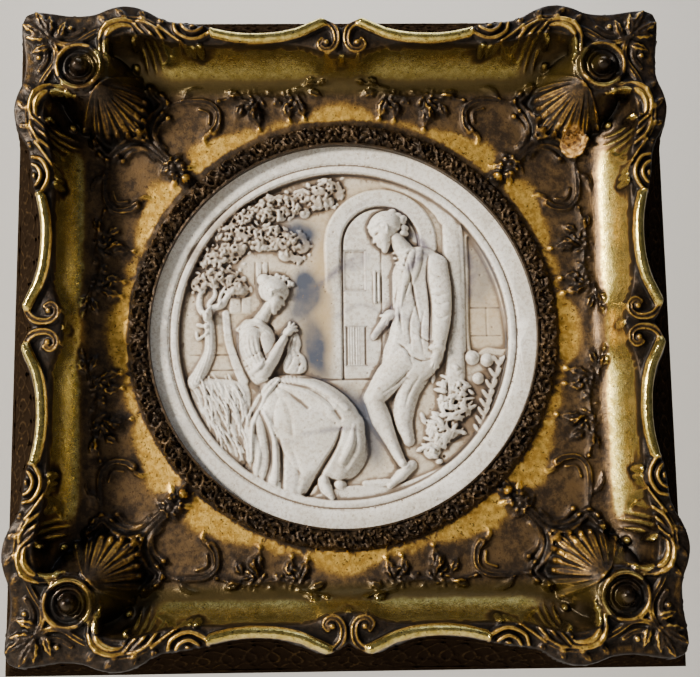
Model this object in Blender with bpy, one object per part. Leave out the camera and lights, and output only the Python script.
"""Relief plaque: a round stone relief of a lady and a gentleman by a garden door,
set from behind in a square gilt frame with swept rails and carved corners.

The plaque stands upright as it hangs: its back lies in the plane Y = 0, its face looks
along -Y, and the origin is the middle of the back.
"""

import math

import bmesh
import bpy
import numpy as np

# Driving sizes, in millimetres
MM = 0.001
FRAME_SIDE = 300.0
BASE_EDGE = 4.0
CREST_LEVEL = 35.0
PANEL_LEVEL = 10.8
COVE_FOOT = 110.0
RING_WIDTH = 8.4
RING_LEVEL = 12.2
RING_RISE = 1.6
RING_LIP = 1.0
ROUNDEL_DIAMETER = 182.0
ROUNDEL_RIM = 8.4
ROUNDEL_RIM_WIDTH = 11.6
ROUNDEL_FILLET_WIDTH = 4.6
ROUNDEL_FIELD = 4.8
SIGHT_LAP = 3.2
SEAT_GAP = 0.3
KEYHOLE_ENTRY = 10.0
KEYHOLE_SLOT = 5.2
KEYHOLE_UNDERCUT = 9.4
KEYHOLE_SKIN = 3.0
KEYHOLE_DEPTH = 9.0
KEYHOLE_TRAVEL = 11.0
KEYHOLE_HEIGHT = 126.0

# Sizes of the drawings that the carving follows
FRAME_DRAWING = 300.0
FIELD_DRAWING = 75.0

# Fineness of the height maps and of the faceted solids, and what is trimmed off round a blank
MAP_STEP = 0.5
BLANK_MARGIN = 2.0
FRAME_CELLS = 220
ROUNDEL_CELLS = 130
FRAME_FACES = 4050
ROUNDEL_FACES = 3900
ROUND_SIDES = 80

# Sizes that follow from the driving ones
ROUNDEL_RADIUS = ROUNDEL_DIAMETER / 2
SIGHT_RADIUS = ROUNDEL_RADIUS - SIGHT_LAP
REBATE_RADIUS = ROUNDEL_RADIUS + SEAT_GAP
REBATE_DEPTH = ROUNDEL_RIM + SEAT_GAP
FIELD_RADIUS = ROUNDEL_RADIUS - ROUNDEL_RIM_WIDTH - ROUNDEL_FILLET_WIDTH


def clear_scene():
    for item in list(bpy.data.objects):
        bpy.data.objects.remove(item, do_unlink=True)


def plain_material(name, colour, roughness, metallic):
    material = bpy.data.materials.new(name)
    material.use_nodes = True
    shader = material.node_tree.nodes["Principled BSDF"]
    shader.inputs["Base Color"].default_value = (*colour, 1.0)
    shader.inputs["Roughness"].default_value = roughness
    shader.inputs["Metallic"].default_value = metallic
    return material


# Section shapes: q is 0 on the middle line and 1 at the edge

def dome(q):
    return np.sqrt(np.clip(1.0 - q * q, 0.0, 1.0))


def ledge(q):
    t = np.clip((1.0 - q) / 0.4, 0.0, 1.0)
    return t * t * (3.0 - 2.0 * t)


def crest(q):
    return np.clip(1.0 - q, 0.0, 1.0)


def along(values, s):
    """A value that runs evenly through the given ones as s goes from 0 to 1."""
    values = np.atleast_1d(np.asarray(values, dtype=float))
    return np.interp(s, np.linspace(0.0, 1.0, len(values)), values)


def smooth_curve(points, closed=False, pieces=6):
    """A Catmull-Rom curve through the points."""
    knots = np.asarray(points, dtype=float)
    if len(knots) == 2 and not closed:
        return knots
    if closed:
        padded = np.vstack([knots[-1], knots, knots[0], knots[1]])
    else:
        padded = np.vstack([2 * knots[0] - knots[1], knots, 2 * knots[-1] - knots[-2]])
    t = np.linspace(0.0, 1.0, pieces, endpoint=False)[:, None]
    curve = []
    for a, b, c, d in zip(padded, padded[1:], padded[2:], padded[3:]):
        curve.append(0.5 * (2 * b + (c - a) * t + (2 * a - 5 * b + 4 * c - d) * t ** 2
                            + (3 * b - a - 3 * c + d) * t ** 3))
    if not closed:
        curve.append(knots[-1:])
    return np.vstack(curve)


def smooth_run(knots, run):
    """A value that passes smoothly through (place, value) pairs along a rail."""
    curve = smooth_curve(knots, pieces=8)
    return np.interp(run, curve[:, 0], curve[:, 1])


class Relief:
    """A height map over a flat square sheet, all in millimetres."""

    def __init__(self, low, high, step):
        count = int(round((high - low) / step)) + 1
        self.low = low
        self.step = step
        line = low + step * np.arange(count)
        self.x, self.z = np.meshgrid(line, line)
        self.h = np.zeros_like(self.x)

    def window(self, points, reach):
        """The slices of the sheet that lie within reach of the points."""
        points = np.asarray(points)
        first = np.floor((points.min(axis=0) - reach - self.low) / self.step).astype(int)
        last = np.ceil((points.max(axis=0) + reach - self.low) / self.step).astype(int) + 1
        first = np.clip(first, 0, len(self.h))
        last = np.clip(last, 0, len(self.h))
        return slice(first[1], last[1]), slice(first[0], last[0])

    def follow(self, curve, reach):
        """For each place near a curve: the share of its length and the distance to its left."""
        part = self.window(curve, reach)
        x = self.x[part]
        z = self.z[part]
        steps = np.hypot(*np.diff(curve, axis=0).T)
        total = steps.sum()
        best = np.full(x.shape, 1e9)
        share = np.zeros(x.shape)
        side = np.ones(x.shape)
        walked = 0.0
        for start, end, size in zip(curve, curve[1:], steps):
            if size < 1e-9:
                continue
            ux, uz = (end - start) / size
            run = np.clip((x - start[0]) * ux + (z - start[1]) * uz, 0.0, size)
            dx = x - start[0] - run * ux
            dz = z - start[1] - run * uz
            gap = dx * dx + dz * dz
            nearer = gap < best
            best = np.where(nearer, gap, best)
            share = np.where(nearer, (walked + run) / total, share)
            side = np.where(nearer, np.sign(ux * dz - uz * dx), side)
            walked += size
        return part, share, np.sqrt(best) * side

    def place(self, part, mask, body, level):
        """Adds a body to what is there, or lays it at its own level where it stands higher."""
        if level is None:
            self.h[part] += np.where(mask, body, 0.0)
        else:
            self.h[part] = np.where(mask, np.maximum(self.h[part], level + body), self.h[part])

    def line(self, points, width, rise, level=None, shape=dome, closed=False):
        """A moulded line: half widths, rises and levels run through their values along it."""
        curve = smooth_curve(points, closed)
        if closed:
            curve = np.vstack([curve, curve[:1]])
        part, s, t = self.follow(curve, np.max(width))
        q = np.abs(t) / along(width, s)
        base = None if level is None else along(level, s)
        self.place(part, q < 1.0, along(rise, s) * shape(q), base)

    def lump(self, centre, radii, rise, turn=0.0, level=None, shape=dome):
        """A rounded boss on an oval foot, turned by an angle in degrees."""
        radii = np.broadcast_to(radii, 2)
        part = self.window([centre], radii.max())
        dx = self.x[part] - centre[0]
        dz = self.z[part] - centre[1]
        angle = math.radians(turn)
        along_x = dx * math.cos(angle) + dz * math.sin(angle)
        along_z = dz * math.cos(angle) - dx * math.sin(angle)
        q = np.hypot(along_x / radii[0], along_z / radii[1])
        self.place(part, q < 1.0, rise * shape(q), level)

    def block(self, low, high, rise, edge=0.6, level=None):
        """A raised or sunk panel with straight sides and a narrow slope round it."""
        low = np.asarray(low, dtype=float)
        high = np.asarray(high, dtype=float)
        part = self.window([low, high], 0.0)
        gap_x = np.minimum(self.x[part] - low[0], high[0] - self.x[part])
        gap_z = np.minimum(self.z[part] - low[1], high[1] - self.z[part])
        inside = np.minimum(gap_x, gap_z)
        self.place(part, inside > 0.0, rise * np.clip(inside / edge, 0.0, 1.0), level)

    def sheet(self, outline, rise, edge, level=None, shape=dome):
        """A raised patch with a smooth outline and a rounded edge."""
        curve = smooth_curve(outline, closed=True)
        ring = np.vstack([curve, curve[:1]])
        part, _, t = self.follow(ring, 0.0)
        x = self.x[part]
        z = self.z[part]
        inside = np.zeros(x.shape, dtype=bool)
        for (ax, az), (bx, bz) in zip(ring, ring[1:]):
            if az == bz:
                continue
            crosses = (az > z) != (bz > z)
            inside ^= crosses & (x < ax + (z - az) * (bx - ax) / (bz - az))
        q = 1.0 - np.clip(np.abs(t) / edge, 0.0, 1.0)
        self.place(part, inside, rise * shape(q), level)

    def soften(self, size):
        """Rounds every form off over the given size."""
        reach = max(1, int(round(2 * size / self.step)))
        weights = np.exp(-0.5 * (np.arange(-reach, reach + 1) * self.step / size) ** 2)
        weights /= weights.sum()
        for axis in (0, 1):
            padded = np.pad(self.h, [(reach, reach) if a == axis else (0, 0) for a in (0, 1)], "edge")
            self.h = np.apply_along_axis(np.convolve, axis, padded, weights, "valid")

    def at(self, x, z):
        """The height at any places on the sheet, evenly between its points."""
        top = len(self.h) - 1.001
        gx = np.clip((x - self.low) / self.step, 0.0, top)
        gz = np.clip((z - self.low) / self.step, 0.0, top)
        ix = gx.astype(int)
        iz = gz.astype(int)
        fx = gx - ix
        fz = gz - iz
        lower = self.h[iz, ix] * (1 - fx) + self.h[iz, ix + 1] * fx
        upper = self.h[iz + 1, ix] * (1 - fx) + self.h[iz + 1, ix + 1] * fx
        return lower * (1 - fz) + upper * fz


# Frame: an eighth of its carving is drawn over the right half of the top rail
# x runs from the middle of the rail to the corner, z from the middle of the frame outwards

def rail_lines(run):
    """The outer and inner edge of the crest and its level, along the rail."""
    outer = smooth_run([(0, 134.5), (10, 138.6), (20, 135), (34, 131.8), (50, 132.8), (66, 136),
                        (79, 138), (86, 142), (92, 144.4), (98, 145), (104, 143.8), (111, 141.4),
                        (120, 140.8), (130, 142.2), (136, 142.8), (140, 141.6), (144, 139), (152, 132)], run)
    inner = smooth_run([(0, 122.4), (8, 122.8), (14, 125.4), (22, 126.8), (36, 126.4), (50, 126.8), (72, 127.2),
                        (82, 129.2), (94, 131.5), (104, 129.5), (112, 124), (122, 121), (152, 121)], run)
    top = CREST_LEVEL + smooth_run([(0, 0), (50, 0), (70, 0.8), (98, 1.6), (116, 0), (152, 0)], run)
    return outer, inner, top


def rail_section(relief):
    """Skirt, crest, cove and flat panel of the swept rail."""
    across = np.maximum(relief.x, relief.z)
    run = np.minimum(relief.x, relief.z)
    outer, inner, top = rail_lines(run)
    fall = np.clip((across - outer) / (FRAME_DRAWING / 2 - outer), 0.0, 1.0)
    skirt = BASE_EDGE + (top - BASE_EDGE) * (1.0 - fall) ** 1.15
    rise = np.clip((across - COVE_FOOT) / (inner - COVE_FOOT), 0.0, 1.0)
    cove = (top - PANEL_LEVEL - 1.4) * (1.0 - np.sqrt(1.0 - rise ** 2))
    apron = 1.4 * np.clip((across - COVE_FOOT + 8.5) / 8.5, 0.0, 1.0) ** 2
    relief.h = np.where(across > outer, skirt, PANEL_LEVEL + apron + cove)


def corner_console(relief):
    """The ground of the corner: flat under the knob, falling to the panel under the shell."""
    dx = relief.x - 116.0
    dz = relief.z - 116.0
    away = np.hypot(dx, dz)
    askew = np.abs(dx - dz) / np.maximum(math.sqrt(2.0) * away, 1e-6)
    cone = CREST_LEVEL - 0.6 - (0.98 + 1.25 * askew ** 2) * np.clip(away - 11.5, 0.0, None)
    inside = np.maximum(relief.x, relief.z) < 126.0
    relief.h = np.where(inside, np.maximum(relief.h, cone), relief.h)


def swept_tube(relief):
    """The polished tube on the crest and the scroll that ends it at the middle of the rail."""
    base = CREST_LEVEL
    relief.line([(9, 137), (15, 134.2), (20, 132), (28, 130.2), (36, 129.6), (43, 129.6),
                 (50, 130.4), (57, 132)], [2.4, 2.7, 2.7, 2.4], 3.6, base)
    relief.line([(9.5, 136.8), (6, 136.9), (2.9, 133.6), (2.2, 128.5), (4.2, 124.9), (7.8, 124.2),
                 (10, 126.6), (8.8, 129)], [2.4, 2.1, 1.9, 1.7, 1.5], [3.4, 3.0], base - 0.8)
    relief.lump((6.9, 127.6), 1.9, 3.4, level=base - 0.8)


def rail_shell(relief):
    """The small shell and leaf where the tube springs from the corner work."""
    base = CREST_LEVEL
    relief.lump((66, 132.8), (6.6, 3.6), 3.2, level=base - 1.0)
    relief.lump((63.6, 127.6), 1.8, 3.2, level=base - 1.0)
    relief.line([(58.5, 131.4), (63, 128.6), (70, 128.4), (76, 131.6)], [1.0, 1.6, 1.2], 2.4, base - 1.0)


def corner_ear(relief):
    """The open scroll beside the knob, with its hollow, ball ends and sweeping leaf."""
    base = CREST_LEVEL
    relief.line([(97, 138.8), (89.5, 138), (81.5, 134.4), (74, 130.6), (66.5, 126)],
                [1.4, 1.9, 1.6, 1.2, 0.9], [2.6, 2.8, 2.2, 1.2], [base + 0.6, base, base - 1.6])
    relief.line([(104.5, 119), (106.5, 123.5), (106.4, 129.5), (103.8, 134.4), (98.6, 136.6),
                 (93.6, 135.8), (91.6, 132.6), (93.4, 129.6)],
                [1.5, 2.1, 2.6, 2.9, 2.7, 2.3, 1.7, 1.3], [2.4, 3.2, 3.6, 3.2, 2.6],
                [base - 2, base - 0.5, base + 1.5, base + 1.5, base + 0.4, base - 2])
    relief.lump((105.4, 122.0), 2.2, 3.6, level=base - 2.0)
    relief.lump((94.4, 122.4), 2.0, 3.0)
    for start, middle, end in [((89.6, 138), (82, 132.4), (77.4, 124.6)), ((91, 137.2), (85, 131), (81.6, 121.8)),
                               ((92, 135.6), (86.8, 128.8), (85, 120.4)), ((93, 133), (89.8, 127), (88.8, 120.4))]:
        relief.line([start, middle, end], [0.9, 1.3, 0.5], [1.4, 2.2, 0.3])


def corner_tip(relief):
    """The clustered leaf at the corner and the double ribs that run from it."""
    base = CREST_LEVEL
    relief.line([(129.6, 129.6), (124, 127.2), (118.5, 127.6), (112.5, 131.4), (106, 134.6)],
                [1.3, 1.5, 1.6], 2.6, base - 0.2)
    relief.line([(133, 134), (126, 131.8), (120, 131.6), (115, 134.4)], [1.6, 1.5, 1.2], 2.4, base - 0.8)
    relief.sheet([(127, 133), (131, 139), (137, 141.5), (141.5, 137), (139, 131), (133, 127)], 2.6, 3.0,
                 base - 1.0)
    for x, z, size in [(136, 136, 3.4), (130.5, 137, 2.6), (131.5, 131.5, 2.8), (126.8, 131.2, 2.0),
                       (134.6, 133, 2.0)]:
        relief.lump((x, z), size, 2.4, level=base - 0.4)


def corner_knob(relief):
    """The ball in its ring, on the flat top of the corner."""
    base = CREST_LEVEL
    for radius, width, rise in ((9.8, 1.5, 3.0), (6.4, 0.8, 1.4)):
        ring = [(117 + radius * math.cos(a), 117 + radius * math.sin(a))
                for a in np.linspace(0.0, 2.0 * math.pi, 12, endpoint=False)]
        relief.line(ring, width, rise, base - 0.6, closed=True)
    relief.lump((117, 117), 4.0, 6.4, level=base - 0.6)


def corner_shell(relief):
    """The fan of ribs that spreads from the knob to curled tips over the panel."""
    heart = 108.8
    for angle, length, size in [(0, 23, 2.4), (13, 20.5, 1.6), (26, 19, 1.7), (39, 18.5, 1.7),
                                (57, 20.5, 2.5), (75, 17.5, 2.0)]:
        heading = math.radians(225.0 - angle)
        ray = np.array([math.cos(heading), math.sin(heading)])
        points = [tuple(heart + reach * ray) for reach in (1.0, 0.6 * length, length)]
        relief.line(points, [0.6, 0.8 * size, size], [0.8, 2.0, 2.8])
        if size > 2.1:
            relief.lump(points[-1], 2.3, 2.4)


def strap_scrolls(relief):
    """The scrolled strapwork under the shell and the hooked tendril that follows the cove."""
    relief.line([(86.4, 112), (82, 107.4), (85.6, 102.5), (88.6, 96), (86.8, 88.5), (80, 81)],
                [2.2, 2.6, 2.9, 2.7, 2.0], [2.0, 2.4, 2.0], shape=ledge)
    relief.line([(80.2, 100.5), (84.6, 96.5), (84.8, 91), (81.2, 86.6)], [1.6, 1.0, 1.0], 1.4)
    relief.lump((80.2, 101.2), 1.8, 1.2)
    relief.line([(80, 107.5), (70, 108.6), (62, 108), (57.4, 104), (57.6, 97.5), (59.5, 94.6)],
                [1.0, 1.5, 1.6, 1.6, 2.2], [1.0, 1.6, 1.8, 2.2])
    relief.line([(66, 105), (61.5, 103), (61.5, 98.5)], 1.0, 1.0)


def corner_husk(relief):
    """The cluster of berries and leaf that points from the scrolls to the ring."""
    for x, z, size in [(77.8, 77.8, 3.2), (73.8, 78.4, 2.4), (71.5, 72.5, 2.8), (76, 73, 2.2)]:
        relief.lump((x, z), size, 2.2)
        relief.lump((z, x), size, 1.2)


def rail_sprigs(relief):
    """The flower and leaf sprigs on the panel beside the middle of each rail."""
    relief.line([(21, 114), (13, 115.6), (7, 117)], [1.1, 0.6], 1.0)
    relief.line([(20, 112), (32, 110), (44, 111.5), (57, 108.5)], 0.9, 1.0)
    relief.line([(44, 113), (45.5, 119.5)], [1.4, 0.8], 1.4)
    for x, z, size in [(25.5, 113.5, 3.2), (30, 109.5, 2.6), (23.5, 109, 2.2), (36.5, 111, 3.0)]:
        relief.lump((x, z), size, 2.0)
    for root, tip, size in [((18, 111.5), (16.6, 104), 2.2), ((29, 107.5), (26, 104), 2.2),
                            ((38.5, 109), (36.4, 98), 2.2), ((48, 109), (50, 103), 1.6)]:
        relief.line([root, tip], [1.0, size, 1.4], [1.2, 2.2, 1.6])


def frame_drawing():
    """The whole height map of one quarter of the frame, mirrored about its diagonal."""
    relief = Relief(0.0, FRAME_DRAWING / 2 + BLANK_MARGIN, MAP_STEP)
    rail_section(relief)
    plain = relief.h.copy()
    corner_console(relief)
    for draw in (corner_ear, corner_tip, corner_knob, corner_shell, swept_tube, rail_shell,
                 strap_scrolls, corner_husk, rail_sprigs):
        draw(relief)
    relief.h = np.maximum(relief.h, relief.h.T)
    across = np.maximum(relief.x, relief.z)
    outer, _, _ = rail_lines(np.minimum(relief.x, relief.z))
    relief.h = np.where(across > outer + 0.5, np.minimum(relief.h, plain + 1.0), relief.h)
    relief.soften(0.5)
    return relief


def frame_heights(x, z, drawing):
    """Frame heights at places in real millimetres, with the ring around the opening."""
    scale = FRAME_DRAWING / FRAME_SIDE
    height = drawing.at(np.abs(x) * scale, np.abs(z) * scale)
    height = chipped_tip(x * scale, z * scale, height)
    radius = np.hypot(x, z)
    middle = SIGHT_RADIUS + RING_LIP + RING_WIDTH / 2
    ring = RING_LEVEL + RING_RISE * dome((radius - middle) / (RING_WIDTH / 2))
    return np.where(radius < SIGHT_RADIUS + RING_LIP + RING_WIDTH, ring, height)


def chipped_tip(x, z, height):
    """The broken leaf of one corner shell, worn down to a rough stump."""
    away = np.hypot((x - 107.0) / 5.4, (z - 87.0) / 6.0)
    stump = PANEL_LEVEL + 4.2 + 0.6 * np.sin(1.9 * x) * np.sin(2.3 * z)
    return np.where(away < 1.0, np.minimum(height, stump), height)


# Roundel: the scene is drawn over a field of 75 mm radius, x to the right and z up

def doorway(relief):
    """The arched door, its panels and the pilaster with its curved head."""
    middle = np.array([17.5, 42.0])
    head = [tuple(middle + 22.3 * np.array([math.cos(a), math.sin(a)]))
            for a in np.linspace(math.radians(-5.0), math.radians(180.0), 9)]
    relief.line(head + [(-4.9, 32), (-5, 22)], [4.4, 4.4, 4.4, 4.4, 3.6], [1.3, 1.3, 1.3, 1.0, 0.3],
                shape=ledge)
    away = np.hypot(relief.x - middle[0], np.maximum(relief.z - middle[1], 0.0))
    opening = np.clip((18.2 - away) / 0.7, 0.0, 1.0) * (relief.z > -21)
    relief.h -= 0.9 * opening * opening * (3.0 - 2.0 * opening)
    relief.block((0.4, 20.4), (10.4, 39.6), -0.5)
    relief.block((0.8, -14.4), (10.6, 3.8), -0.6)
    for bar in np.linspace(2.4, 9.2, 7):
        relief.line([(bar, 3.2), (bar, -13.8)], 0.5, 0.6)
    relief.line([(17.6, 39), (17.6, -12)], 0.5, -0.5, shape=crest)
    relief.line([(15.6, 29), (15.6, 15)], 1.4, 1.4)
    relief.line([(50.8, -17), (50.8, 44), (48, 55), (41, 63), (33, 67)], [5, 5, 4.6, 3.6], 1.7,
                shape=ledge)
    relief.line([(55.2, -8), (55.2, 45), (51.6, 57), (44.6, 64.6)], 0.9, 0.8)
    relief.line([(-10, -20.8), (14, -20.8)], 0.7, -0.6, shape=crest)
    relief.sheet([(58, -7), (58, 30), (58, 46), (64, 38), (71, 22), (74.6, 4), (74.6, -7), (66, -7)],
                 -0.9, 1.2)


def tree(relief):
    """The trunk that forks at the left edge and the second stem beside it."""
    relief.line([(-69, -24), (-64, -16), (-61.7, -8), (-62, 3), (-63, 10)], [4.2, 3.2, 2.6], 2.8)
    relief.line([(-63, 8), (-65.6, 14), (-65, 22)], 1.6, 2.0)
    relief.line([(-62.4, 8), (-59, 13), (-54.6, 16), (-51, 22)], 2.0, 2.2)
    relief.line([(-62, 12), (-61, 17), (-58, 22)], 1.2, 1.8)
    relief.line([(-63, 3), (-67, 5.4)], [1.6, 0.9], 1.4)
    relief.line([(-54, 10), (-52.8, -2), (-50, -11), (-46, -21)], [1.8, 2.0, 2.6], 1.6)
    relief.block((-40, 23.6), (-33.6, 36), 1.0)
    relief.block((-45.4, 25.6), (-40.4, 31.4), 0.8)
    relief.block((-52.4, 10), (-40.4, 19), 1.0)


FOLIAGE = [
    ([(-67, 37), (-58, 38.5), (-50, 38)], 4.2),
    ([(-67, 24), (-60, 27), (-52, 26.5), (-47, 21)], 4.4),
    ([(-57, 47), (-49, 53), (-41, 57), (-32, 60), (-22, 61), (-13, 64), (-4, 68)], 5.2),
    ([(-49, 43), (-38, 46), (-28, 45), (-19, 42)], 5.0),
    ([(-26, 36.6), (-20, 35.4)], 2.0),
]


def foliage(relief, spacing, size):
    """Leaf masses: bosses strewn along each bough, their places drawn from a fixed seed."""
    draw = np.random.default_rng(7)
    for bough, spread in FOLIAGE:
        relief.line(bough, spread, 1.2, 0.6)
        curve = smooth_curve(bough)
        length = np.hypot(*np.diff(curve, axis=0).T).sum()
        count = int(length * spread * 2.0 / spacing ** 2)
        for _ in range(count):
            spot = curve[draw.integers(len(curve))] + draw.uniform(-spread, spread, 2) * 0.85
            relief.lump(spot, size * draw.uniform(0.8, 1.25), draw.uniform(0.8, 1.5),
                        level=draw.uniform(1.2, 2.6))


def seated_lady(relief):
    """The lady's head, bodice, arms and the work that hangs from her hand."""
    relief.line([(-34, 13.5), (-38.5, 6)], [2.8, 3.0, 3.8], 3.2, 0.2)
    relief.lump((-38.6, 19.8), (3.2, 3.6), 3.0, level=0.2)
    relief.lump((-29.6, 16.6), (5.0, 6.4), 4.2, turn=-24, level=0.4)
    relief.lump((-27.4, 11.9), (2.3, 1.9), 3.2, turn=-24, level=0.4)
    relief.lump((-24.9, 14.9), (1.3, 1.0), 2.4, turn=-30, level=0.8)
    relief.lump((-33.4, 20.4), (6.2, 5.2), 4.9, turn=14, level=0.4)
    for x, z in [(-31.4, 26), (-27.4, 25.8), (-24, 24.6)]:
        relief.lump((x, z), 1.8, 1.8, level=1.0)
    relief.sheet([(-47.8, 3.6), (-42, 7.6), (-36, 6), (-32, 1), (-30.6, -6), (-32.5, -14), (-33, -22),
                  (-40, -23), (-45, -17), (-48.2, -7)], 3.4, 5.0, 0.2)
    relief.lump((-35, -3.6), (4.6, 5.4), 1.2)
    relief.line([(-48, 2.5), (-44, 6), (-38.5, 4.8), (-32.5, 0.6)], [1.4, 1.9, 1.6], 0.9)
    relief.line([(-22.8, 0), (-21.2, -8), (-21.4, -16)], [1.8, 2.8, 4.2], 2.6, 0.2)
    relief.line([(-42.8, 1), (-41.8, -7), (-38.4, -16)], [4.8, 5.6, 5.0, 4.2], [2.6, 3.4, 3.2], 2.2)
    relief.line([(-42.6, -17.6), (-38.6, -15.4), (-35, -11.4)], 1.2, 0.8)
    relief.line([(-37.4, -18.4), (-32, -10.5), (-27.4, -2)], [3.6, 3.0, 1.9], 3.2, 2.2)
    relief.lump((-25.4, 1.4), (3.4, 2.2), 3.0, turn=42, level=2.0)
    for tip in [(-21.6, 2.2), (-22.4, 4.4), (-24.4, 5.4)]:
        relief.line([(-25.6, 1.6), tip], [1.2, 0.8], 2.6, 2.2)


def lady_skirt(relief):
    """The full skirt over lap and knee, with its sash, folds and shoes."""
    relief.line([(-8.6, -67), (-6.6, -74)], [2.0, 1.6], 2.8, 0.2)
    relief.line([(-4.4, -67), (0.6, -70)], [1.8, 1.5], 2.4, 0.2)
    relief.sheet([(-38, -21), (-28, -18.6), (-16, -19.4), (-6, -25.6), (2.6, -31.5), (8.6, -44), (10, -56),
                  (4, -65), (-8, -67), (-18, -75.4), (-30, -74), (-42, -65), (-45.6, -52), (-43.6, -40),
                  (-38, -31)], 3.2, 6.0, 0.2)
    relief.lump((-15, -46), (23, 15), 1.6, turn=-62)
    relief.line([(-27, -26), (-13, -29), (-2, -37), (1, -44)], [5, 8, 8, 7], [2.2, 3.0, 3.2, 2.6], 2.2)
    relief.line([(2, -42), (1.6, -52), (-3, -61)], [7.0, 7.4, 5.4], [2.6, 3.0, 2.4], 2.0)
    relief.line([(-31, -21), (-38.5, -30), (-43, -42), (-43, -57)], [1.8, 2.2, 2.4, 1.6], 1.6)
    for fold, depth in [([(-39, -34), (-35, -45), (-33.6, -57), (-36, -67)], 1.6),
                        ([(-33, -42), (-29, -53), (-28.4, -70)], 1.4),
                        ([(-1.4, -43), (-4.4, -51.5), (-10.5, -61.5), (-18.6, -74)], 2.2),
                        ([(-30, -22), (-18, -25), (-8, -31), (-2, -39)], 1.2),
                        ([(-32, -23), (-24, -28), (-17, -34)], 0.9)]:
        relief.line(fold, [0.9, 2.0, 1.6], [-0.4 * depth, -depth, -0.8 * depth], shape=crest)
    for fold, height in [([(-36.5, -36), (-31.8, -46), (-31.2, -60), (-32.5, -70)], 1.2),
                         ([(-30, -20.8), (-17, -22.4), (-6, -28), (1, -34)], 1.1),
                         ([(4, -42), (1.6, -52), (-5.5, -61), (-12, -70)], 0.9),
                         ([(-40.6, -46), (-39.6, -56), (-41, -64)], 1.0)]:
        relief.line(fold, [0.8, 1.9, 1.6], [0.4 * height, height, 0.8 * height])


def standing_man(relief):
    """The man who leans in the door: legs, coat, arms and head."""
    relief.line([(34, -15), (28.6, -28), (26.6, -39), (29, -49)], [7.6, 5.4, 4.8, 2.6], 3.0, 0.2)
    relief.line([(20, -67.8), (9, -68.2)], [1.8, 1.3], 1.8, 0.2)
    relief.line([(28, -12), (20, -21), (13.4, -29.5)], [7.6, 6.8, 5.0], [3.8, 3.6], 0.8)
    relief.line([(13, -29.6), (17.2, -41), (22.4, -52.5), (25.6, -59)], [4.4, 4.8, 3.1, 2.1], 3.2, 0.8)
    relief.line([(30, -60.2), (26.2, -63.6), (20, -69)], [2.4, 2.9, 1.7], 2.8, 0.4)
    relief.lump((26.6, -59.6), (2.6, 2.2), 1.4)
    relief.sheet([(22.8, 28), (26.5, 36), (31, 40.4), (38, 40.6), (44.4, 37.4), (48.4, 30), (49, 16),
                  (48.6, 2), (46.6, -10), (41.5, -17.6), (31, -19), (18.4, -18), (17.8, -9), (20.8, 0),
                  (22.6, 12)], 3.2, 5.0, 0.2)
    relief.sheet([(33, 0), (41, -3), (45.6, -9), (41.6, -17.6), (36, -21.6), (27.4, -20), (26.6, -11)],
                 1.6, 3.0, 2.4)
    relief.line([(20.5, 8), (13.8, -1)], [2.2, 1.3], 1.8, 0.4)
    relief.lump((21, 8.6), (3.2, 2.6), 2.6, turn=30, level=1.0)
    for tip in [(17.4, 8.4), (17.8, 6.4), (19, 5)]:
        relief.line([(21, 9), tip], [1.1, 0.8], 2.0, 1.4)
    relief.line([(43, 32), (44.8, 19), (44.8, 6), (42.6, -8)], [5.2, 4.9, 4.2, 3.2], [2.2, 2.6, 2.6],
                [2.4, 3.0, 2.8])
    relief.line([(39.6, -7), (42.4, -6.6), (45.4, -7.4)], 1.3, 1.0)
    relief.lump((41.6, -11.8), (2.5, 3.6), 2.2, turn=-12, level=3.0)
    relief.line([(32, 38), (29.6, 28), (26, 17), (24, 4)], [1.8, 2.2, 1.6, 0.8], [1.2, 1.4, 0.6])
    relief.line([(27, 42.6), (29.4, 37.5)], [3.2, 4.4], 3.0, 0.6)
    for shift in (0.0, 2.6, 5.2):
        relief.line([(23.6 + 0.2 * shift, 38 - shift), (27.4, 37 - shift), (30.4 - 0.5 * shift, 38.4 - shift)],
                    [0.9, 1.4, 0.9], 1.1)
    relief.lump((31.0, 46.6), (3.0, 5.8), 2.8, turn=16, level=0.4)
    relief.lump((18.6, 48.0), (5.4, 6.8), 3.8, turn=16, level=0.4)
    relief.lump((15.6, 43.4), (2.2, 2.0), 3.2, level=0.4)
    relief.lump((12.9, 46.6), (1.2, 1.3), 2.2, turn=20, level=0.8)
    relief.lump((22.8, 51), (7.2, 5.6), 4.2, turn=-22, level=0.4)
    relief.line([(15, 53.6), (20, 57), (27, 55.4), (31.4, 49)], [1.6, 2.2, 2.4, 1.8], 1.0)


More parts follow.
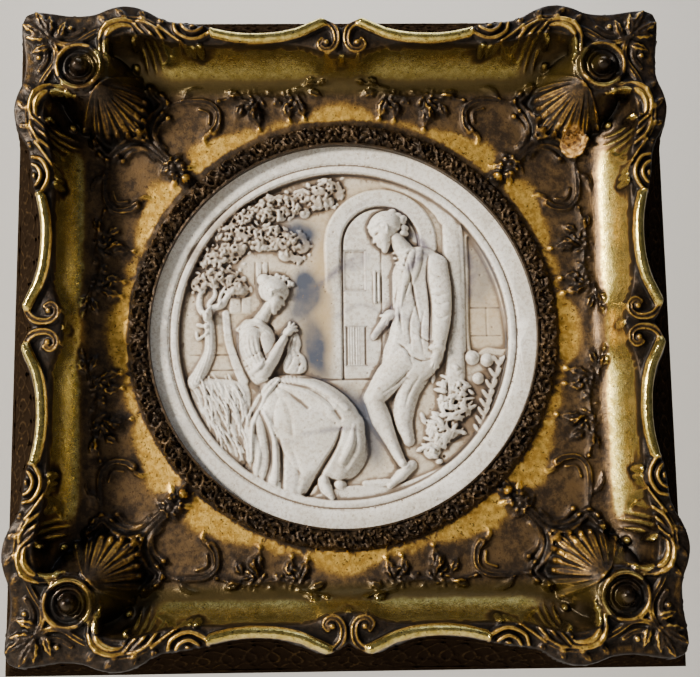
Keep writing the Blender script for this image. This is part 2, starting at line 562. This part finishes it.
def garden(relief):
    """The grassy bank, the rose bush, the leafy stem and the strip of ground."""
    relief.sheet([(-71, -19), (-60, -20), (-49, -21), (-43, -26), (-43, -52), (-49, -62), (-58, -52),
                  (-67, -36)], 1.8, 4.0, 0.0)
    relief.sheet([(-20, -77), (-2, -69.5), (20, -69), (34, -65), (50, -57), (62, -45), (58, -56),
                  (40, -68), (20, -77), (0, -80)], 1.2, 2.0, 0.0)
    relief.sheet([(42, -25), (50, -21), (58, -24), (60.5, -36), (60, -50), (54, -60), (44, -61),
                  (35, -60), (34.5, -50), (39, -40)], 1.4, 2.5, 0.0)
    draw = np.random.default_rng(11)
    for _ in range(46):
        root = np.array([draw.uniform(41, 58), draw.uniform(-58, -24)])
        heading = draw.uniform(0.1, 0.9) * math.pi
        tip = root + 5.0 * np.array([math.cos(heading), math.sin(heading)])
        relief.line([root, tip], [0.8, 1.5, 0.6], 1.2, draw.uniform(1.0, 2.0))
    for x, z, size in [(41, -44.5, 4.6), (39.8, -53.5, 4.9)]:
        relief.lump((x, z), size, 2.8, level=1.0)
        relief.lump((x, z), 0.55 * size, 0.8)
    relief.lump((58.8, -11.3), 3.3, 2.4)
    relief.lump((65.6, -12.6), 3.0, 2.2)
    stem = smooth_curve([(60, -52), (63, -40), (66.5, -28), (72, -12)])
    relief.line(stem[::3], 0.8, 1.0)
    for index in range(3, len(stem), 2):
        for side in (-1, 1):
            relief.line([stem[index], stem[index] + (2.6 * side, 3.6)], [0.8, 1.3, 0.6], 1.3)


def roundel_drawing():
    """The whole scene as a height map over the sunk field."""
    relief = Relief(-FIELD_DRAWING - 4.0, FIELD_DRAWING + 4.0, MAP_STEP)
    doorway(relief)
    tree(relief)
    foliage(relief, 2.6, 2.2)
    garden(relief)
    standing_man(relief)
    lady_skirt(relief)
    seated_lady(relief)
    relief.soften(0.45)
    return relief


def roundel_heights(x, z, drawing):
    """Roundel heights at places in real millimetres: rim, grooved fillet and carved field."""
    radius = np.hypot(x, z)
    scale = FIELD_DRAWING / FIELD_RADIUS
    carving = drawing.at(x * scale, z * scale)
    fillet_edge = FIELD_RADIUS + ROUNDEL_FILLET_WIDTH
    wall = np.clip((radius - FIELD_RADIUS) / 1.6, 0.0, 1.0)
    wall = wall * wall * (3.0 - 2.0 * wall)
    field = ROUNDEL_FIELD + carving * (1.0 - wall)
    height = field + (ROUNDEL_RIM - 0.4 - ROUNDEL_FIELD) * wall
    groove = dome((radius - fillet_edge) / 0.9)
    height = np.where(radius > fillet_edge, ROUNDEL_RIM, height)
    return height - 0.7 * groove


# Turning height maps into closed solids

def square_grid(cells, side):
    line = np.linspace(-side / 2, side / 2, cells + 1)
    return np.meshgrid(line, line)


def front_mesh(name, x, z, height):
    """The carved face as an open grid of four-cornered faces."""
    rows, columns = x.shape
    points = np.stack([x.ravel(), -height.ravel(), z.ravel()], axis=1) * MM
    index = np.arange(rows * columns).reshape(rows, columns)
    quads = np.stack([index[:-1, :-1], index[:-1, 1:], index[1:, 1:], index[1:, :-1]], axis=-1)
    mesh = bpy.data.meshes.new(name)
    mesh.from_pydata(points.tolist(), [], quads.reshape(-1, 4).tolist())
    return mesh


def evaluated_mesh(item):
    bpy.context.view_layer.update()
    graph = bpy.context.evaluated_depsgraph_get()
    return bpy.data.meshes.new_from_object(item.evaluated_get(graph))


def link(name, mesh):
    item = bpy.data.objects.new(name, mesh)
    bpy.context.scene.collection.objects.link(item)
    return item


def thinned(item, faces):
    """Keeps the facets that shape the carving and merges the rest."""
    item.data.calc_loop_triangles()
    thin = item.modifiers.new("Thin out", "DECIMATE")
    thin.ratio = faces / len(item.data.loop_triangles)
    mesh = evaluated_mesh(item)
    item.modifiers.remove(thin)
    item.data = mesh
    return item


def close_back(item):
    """Draws the edge of the carved face straight back, past the back's plane, and closes it."""
    shell = bmesh.new()
    shell.from_mesh(item.data)
    rim = [edge for edge in shell.edges if edge.is_boundary]
    made = bmesh.ops.extrude_edge_only(shell, edges=rim)["geom"]
    for vertex in (part for part in made if isinstance(part, bmesh.types.BMVert)):
        vertex.co.y = BLANK_MARGIN * MM
    back = [part for part in made if isinstance(part, bmesh.types.BMEdge)]
    bmesh.ops.contextual_create(shell, geom=back)
    bmesh.ops.triangulate(shell, faces=[face for face in shell.faces if len(face.verts) > 4])
    bmesh.ops.recalc_face_normals(shell, faces=shell.faces)
    shell.to_mesh(item.data)
    shell.free()


def carved_blank(name, side, cells, heights, drawing, faces):
    """A square block with the carved face, a little larger all round than the piece."""
    x, z = square_grid(cells, side + 2 * BLANK_MARGIN)
    blank = link(name, front_mesh(name, x, z, heights(x, z, drawing)))
    thinned(blank, faces)
    close_back(blank)
    return blank


def rod(name, radius, front, back=5.0, z=0.0):
    """A round tool from the given height in front of the back's plane to a place behind it."""
    bpy.ops.mesh.primitive_cylinder_add(vertices=ROUND_SIDES, radius=radius * MM,
                                        depth=(front + back) * MM,
                                        location=(0.0, (back - front) / 2 * MM, z * MM),
                                        rotation=(math.radians(90.0), 0.0, 0.0))
    return as_tool(bpy.context.object, name)


def box(name, width, low, high, near, front):
    """A square tool between two heights in front of the back's plane."""
    bpy.ops.mesh.primitive_cube_add(size=1.0, location=(0.0, -(near + front) / 2 * MM,
                                                        (low + high) / 2 * MM))
    item = bpy.context.object
    item.scale = (width * MM, (front - near) * MM, (high - low) * MM)
    return as_tool(item, name)


def as_tool(item, name):
    item.name = name
    item.hide_render = True
    item.display_type = "WIRE"
    return item


def shape_with(item, tools):
    """Trims a blank to its outline with the first tool and cuts the others out of it."""
    for place, tool in enumerate(tools):
        step = item.modifiers.new(tool.name, "BOOLEAN")
        step.operation = "DIFFERENCE" if place else "INTERSECT"
        step.solver = "EXACT"
        step.object = tool
    mesh = evaluated_mesh(item)
    item.modifiers.clear()
    item.data = mesh
    for tool in tools:
        bpy.data.objects.remove(tool, do_unlink=True)


def give_material(item, material):
    item.data.materials.clear()
    item.data.materials.append(material)


def keyhole_tools():
    """The slot behind the top rail: a screw head enters below and slides up behind the skin."""
    top = KEYHOLE_HEIGHT + KEYHOLE_TRAVEL
    return [
        rod("Keyhole entry", KEYHOLE_ENTRY / 2, KEYHOLE_DEPTH, z=KEYHOLE_HEIGHT),
        box("Keyhole slot", KEYHOLE_SLOT, KEYHOLE_HEIGHT, top, -5.0, KEYHOLE_DEPTH - 0.5),
        box("Keyhole undercut", KEYHOLE_UNDERCUT, KEYHOLE_HEIGHT, top + 2.0,
            KEYHOLE_SKIN, KEYHOLE_DEPTH - 1.0),
    ]


def build_frame():
    frame = carved_blank("frame", FRAME_SIDE, FRAME_CELLS, frame_heights, frame_drawing(), FRAME_FACES)
    half = FRAME_SIDE / 2
    outline = box("Outline", FRAME_SIDE, -half, half, 0.0, 2 * CREST_LEVEL)
    opening = rod("Sight opening", SIGHT_RADIUS, CREST_LEVEL)
    rebate = rod("Rebate", REBATE_RADIUS, REBATE_DEPTH)
    shape_with(frame, [outline, opening, rebate] + keyhole_tools())
    give_material(frame, plain_material("Antique gilding", (0.26, 0.17, 0.06), 0.45, 0.8))
    return frame


def build_roundel():
    roundel = carved_blank("roundel", ROUNDEL_DIAMETER, ROUNDEL_CELLS, roundel_heights,
                           roundel_drawing(), ROUNDEL_FACES)
    shape_with(roundel, [rod("Outline", ROUNDEL_RADIUS, 2 * CREST_LEVEL, back=0.0)])
    give_material(roundel, plain_material("Cast marble", (0.75, 0.70, 0.62), 0.5, 0.0))
    return roundel


clear_scene()
build_frame()
build_roundel()
